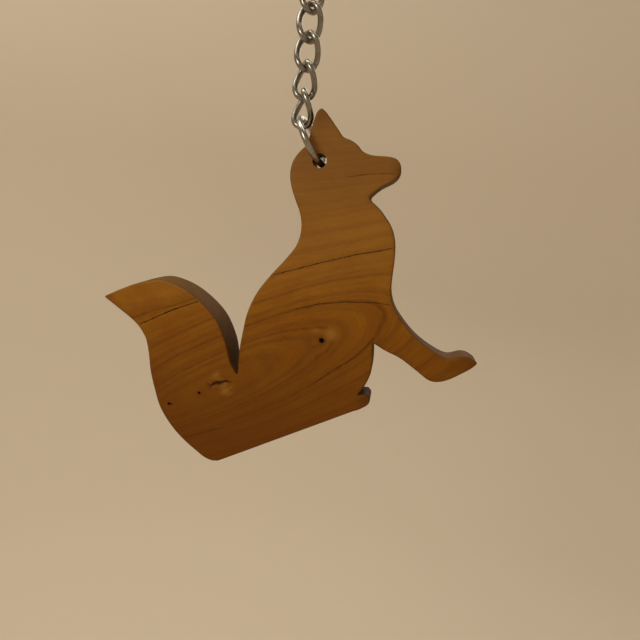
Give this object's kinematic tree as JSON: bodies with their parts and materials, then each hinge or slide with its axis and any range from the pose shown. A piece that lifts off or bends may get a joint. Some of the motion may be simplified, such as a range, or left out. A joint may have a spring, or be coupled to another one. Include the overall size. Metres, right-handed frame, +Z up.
{
  "type": "keychain",
  "caption": "Key chain: a sawn wooden sitting-fox tag on an open jump ring, hung from a twisted curb chain of oval links and a double-coil split ring.",
  "frame": {"origin": "inside of the split ring at its top, where a hook, nail or finger holds the key chain", "axes": "+Z up along the hanging chain, +Y towards the back of the tag, so the front of the fox faces -Y and its nose points along +X"},
  "size_m": [0.0841, 0.0238, 0.1344],
  "materials": {
    "nickel": "polished nickel plate on steel wire",
    "oiled_wood": "satin oil, sanded edges"
  },
  "bodies": {
    "split_ring": {"split_ring": "nickel"},
    "chain_link_1": {"chain_link_1": "nickel"},
    "chain_link_2": {"chain_link_2": "nickel"},
    "chain_link_3": {"chain_link_3": "nickel"},
    "chain_link_4": {"chain_link_4": "nickel"},
    "chain_link_5": {"chain_link_5": "nickel"},
    "chain_link_6": {"chain_link_6": "nickel"},
    "tag_ring": {"tag_ring": "nickel"},
    "wooden_fox": {"wooden_fox": "oiled_wood"}
  },
  "joints": [
    {"name": "link_1_swing", "type": "hinge", "parent": "split_ring", "child": "chain_link_1", "pos_m": [0, 0, -0.0223], "axis": [0.342, 0.9397, 0], "range_deg": [-80, 80]},
    {"name": "link_2_swing", "type": "hinge", "parent": "chain_link_1", "child": "chain_link_2", "pos_m": [0, 0, -0.0273], "axis": [0.5446, 0.8387, 0], "range_deg": [-45, 45]},
    {"name": "link_3_swing", "type": "hinge", "parent": "chain_link_2", "child": "chain_link_3", "pos_m": [0, 0, -0.0316], "axis": [0.809, -0.5878, 0], "range_deg": [-45, 45]},
    {"name": "link_4_swing", "type": "hinge", "parent": "chain_link_3", "child": "chain_link_4", "pos_m": [0, 0, -0.039], "axis": [0.5878, 0.809, 0], "range_deg": [-45, 45]},
    {"name": "link_5_swing", "type": "hinge", "parent": "chain_link_4", "child": "chain_link_5", "pos_m": [0, 0, -0.0433], "axis": [0.342, -0.9397, 0], "range_deg": [-45, 45]},
    {"name": "link_6_swing", "type": "hinge", "parent": "chain_link_5", "child": "chain_link_6", "pos_m": [0, 0, -0.0507], "axis": [0.9397, 0.342, 0], "range_deg": [-45, 45]},
    {"name": "ring_swing", "type": "hinge", "parent": "chain_link_6", "child": "tag_ring", "pos_m": [0, 0, -0.05495], "axis": [0, 1, 0], "range_deg": [-32, 60]},
    {"name": "fox_swing", "type": "hinge", "parent": "tag_ring", "child": "wooden_fox", "pos_m": [0.00497, 0, -0.06374], "axis": [0, 1, 0], "range_deg": [0, 95]}
  ]
}
